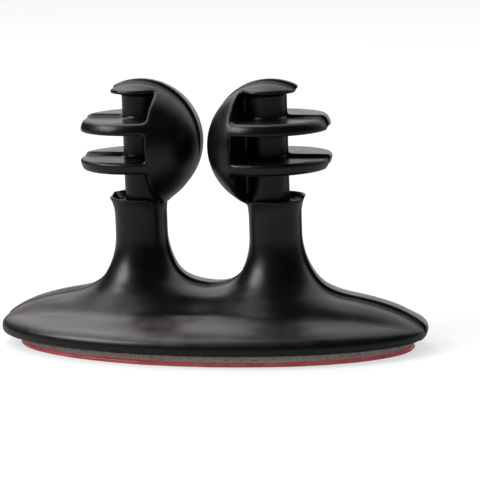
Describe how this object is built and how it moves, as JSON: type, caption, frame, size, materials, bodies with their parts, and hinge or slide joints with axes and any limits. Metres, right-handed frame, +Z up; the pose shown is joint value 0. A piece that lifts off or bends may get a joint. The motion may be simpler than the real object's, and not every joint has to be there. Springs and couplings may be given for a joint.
{
  "type": "cable clip",
  "caption": "Soft rubber cable clip: ball-headed posts on a domed oval base grip a cable between their necks; foam tape with its release film underneath.",
  "frame": {"origin": "centre of the oval footprint, on the surface that the clip stands on", "axes": "+X along the base from post to post, +Y along the cable, +Z up from the surface"},
  "size_m": [0.0362, 0.0196, 0.0217],
  "materials": {
    "black_rubber": "soft satin, slightly mottled",
    "grey_foam": "matte closed-cell foam, cut edge with fine pores",
    "red_film": "glossy thin film"
  },
  "bodies": {
    "root": {"clip_body": "black_rubber", "foam_pad": "grey_foam", "release_liner": "red_film"}
  },
  "joints": []
}
